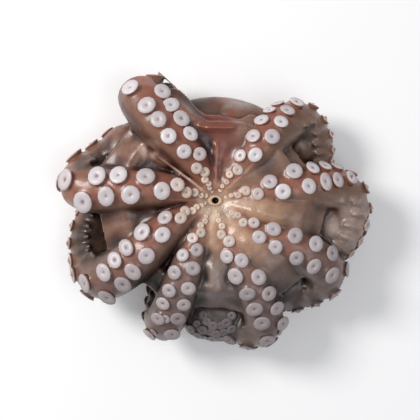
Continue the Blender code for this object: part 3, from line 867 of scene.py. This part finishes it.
def sucker_finish():
    """Pale cartilage with a browner rim and stalk, painted shade at the rim's edge and in the pit, creamy
    near the mouth, greyer and darker southward, partly as painted shade, and darkened as painted shade on the
    coil.
    """
    finish, tree, shader = new_finish("sucker cartilage")
    where = node(tree, "ShaderNodeTexCoord", output="Object")
    own, tone, cup = stored(tree, "own_place", "Vector"), stored(tree, "tone"), stored(tree, "cup")
    from_middle = flat_distance(tree, own)
    height = node(tree, "ShaderNodeSeparateXYZ", output="Z", Vector=own)
    mottle = noise(tree, where, 420, 4, 0.6)
    # greyer southward, where the suckers are also darkened as painted shade
    southward_grey_and_shade = eased(tree, towards(tree, where, 280), -0.010, 0.110)
    pale = mixed(tree, tone, rgb(214, 208, 211), rgb(188, 178, 180))
    pale = mixed(tree, southward_grey_and_shade, pale, mixed(tree, tone, rgb(172, 160, 161), rgb(142, 131, 132)))
    near_mouth = eased(tree, flat_distance(tree, where), 0.048, 0.018)
    pale = mixed(tree, near_mouth, pale, mixed(tree, tone, rgb(224, 200, 178), rgb(200, 178, 160)))
    pale = mixed(tree, eased(tree, mottle, 0.45, 0.75, 0, 0.25), pale, rgb(190, 170, 176))
    # painted shade in the pit of the cup, stronger on some suckers than others
    pit = mixed(tree, southward_grey_and_shade, rgb(150, 136, 142), rgb(104, 92, 94))
    in_pit = eased(tree, from_middle, 0.40, 0.06)
    face = mixed(tree, maths(tree, "MULTIPLY", in_pit, eased(tree, cup, 0.1, 0.9, 0.10, 0.80)), pale, pit)
    # the rim's own browner colour, darkened at the edge as painted shade
    rim = mixed(tree, southward_grey_and_shade, rgb(186, 146, 136), rgb(122, 100, 100))
    face = mixed(tree, eased(tree, from_middle, 0.88, 1.0, 0, 0.8), face, rim)
    stalk = mixed(tree, southward_grey_and_shade, rgb(126, 86, 70), rgb(84, 68, 64))
    colour = mixed(tree, eased(tree, height, 0.50, 0.34), face, stalk)
    # painted shade over the suckers of the coil, which lies under the web
    coil_shade = eased(tree, flat_distance(tree, where, (0.000, -0.110, 0)), 0.026, 0.020, 0, 0.75)
    colour = mixed(tree, coil_shade, colour, rgb(88, 78, 78))
    put(tree, shader.inputs["Base Color"], colour)
    put(tree, shader.inputs["Roughness"], eased(tree, mottle, 0.3, 0.7, 0.34, 0.50))
    shader.inputs["Coat Weight"].default_value = 0.12
    shader.inputs["Coat Roughness"].default_value = 0.25
    shader.inputs["Subsurface Weight"].default_value = 0.12
    shader.inputs["Subsurface Radius"].default_value = (0.0020, 0.0014, 0.0012)
    shader.inputs["Subsurface Scale"].default_value = 1.0
    roughened(tree, shader, mottle, 0.20, 0.0005)
    return finish


def lip_finish():
    finish, tree, shader = new_finish("mouth lip")
    where = node(tree, "ShaderNodeTexCoord", output="Object")
    mottle = noise(tree, where, 900, 4, 0.6)
    colour = mixed(tree, mottle, rgb(226, 200, 170), rgb(186, 150, 122))
    # the inner side of the lip darkened as painted shade down the throat
    colour = mixed(tree, eased(tree, flat_distance(tree, where), 0.0034, 0.0022), colour, rgb(70, 50, 34))
    put(tree, shader.inputs["Base Color"], colour)
    shader.inputs["Roughness"].default_value = 0.36
    roughened(tree, shader, mottle, 0.3, 0.0004)
    return finish


def beak_finish():
    finish, tree, shader = new_finish("beak horn")
    where = node(tree, "ShaderNodeTexCoord", output="Object")
    grain = noise(tree, where, 1500, 3)
    put(tree, shader.inputs["Base Color"], mixed(tree, grain, (0.020, 0.013, 0.009), (0.055, 0.034, 0.020)))
    put(tree, shader.inputs["Roughness"], eased(tree, grain, 0.3, 0.7, 0.22, 0.36))
    roughened(tree, shader, grain, 0.2, 0.0002)
    return finish


def floor_finish():
    finish, tree, shader = new_finish("studio floor")
    where = node(tree, "ShaderNodeTexCoord", output="Object")
    clouds = noise(tree, where, 3, 2)
    put(tree, shader.inputs["Base Color"], mixed(tree, clouds, (0.90, 0.90, 0.905), (0.87, 0.87, 0.88)))
    shader.inputs["Roughness"].default_value = 0.85
    shader.inputs["Emission Color"].default_value = (1, 1, 1, 1)
    shader.inputs["Emission Strength"].default_value = 0.10
    return finish


# ------------------------------------------------------------------ the object
skin = skin_finish()
cartilage = sucker_finish()

shells = [bare_arm(name, route) for name, route in routes.items()]
shells += [web_flesh(), ball("core", CORE_SIZE, CORE_PLACE), ball("mantle", MANTLE_SIZE, MANTLE_PLACE),
           ball("mantle_fold", MANTLE_FOLD_SIZE, MANTLE_FOLD_PLACE), ball("coil", COIL_SIZE, COIL_PLACE)]
shells += [skin_bridge(bridge) for bridge in BRIDGES]
surface = surface_of(shells)
seats = {name: sucker_seats(route, surface) for name, route in routes.items()}
seats["coil"] = coil_seats(surface)
body = flesh(shells)
mark_skin(body)
body.data.materials.append(skin)
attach(body, "root")
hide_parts("octopus")

pattern = sucker_pattern()
for name in seats:
    row = sucker_row(name, pattern)
    row.data.materials.append(cartilage)
    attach(row, "root")
bpy.data.objects.remove(pattern)

lip = mouth_lip()
lip.data.materials.append(lip_finish())
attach(lip, "root")

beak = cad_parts["beak"]
beak.data.materials.clear()
beak.data.materials.append(beak_finish())

# ------------------------------------------------------------------ floor, lights and camera
nothing_selected()
bpy.ops.mesh.primitive_circle_add(vertices=96, radius=3, fill_type="NGON", location=(0, 0, 0))
floor = settle(bpy.context.object, "floor")
floor.data.materials.append(floor_finish())

world = bpy.data.worlds.new("studio")
bpy.context.scene.world = world
world.use_nodes = True
world.node_tree.nodes["Background"].inputs["Color"].default_value = (0.96, 0.97, 1.0, 1)
world.node_tree.nodes["Background"].inputs["Strength"].default_value = 0.38


def softbox(name, place, size, power, colour):
    """A round soft light that looks at the middle of the octopus."""
    bpy.ops.object.light_add(type="AREA", location=place)
    light = bpy.context.object
    light.name = name
    light.data.shape = "DISK"
    light.data.size = size
    light.data.energy = power
    light.data.color = colour
    light.rotation_euler = (Vector((0, 0, 0.04)) - Vector(place)).to_track_quat("-Z", "Y").to_euler()


softbox("key", (-1.00, 0.55, 1.15), 0.6, 19, (1.0, 0.985, 0.96))
softbox("fill", (0.5, -0.3, 1.4), 0.9, 4.5, (0.95, 0.97, 1.0))

VIEW_WIDTH = 0.3457         # width that the camera sees at the height of the arms
ARMS_HEIGHT = 0.055
LENS = 100
SENSOR = 36
bpy.ops.object.camera_add(location=(-0.0043, -0.0077, ARMS_HEIGHT + VIEW_WIDTH * LENS / SENSOR),
                          rotation=(0, 0, 0))
camera = bpy.context.object
camera.data.lens = LENS
camera.data.sensor_width = SENSOR
bpy.context.scene.camera = camera
bpy.context.scene.view_settings.view_transform = "Standard"
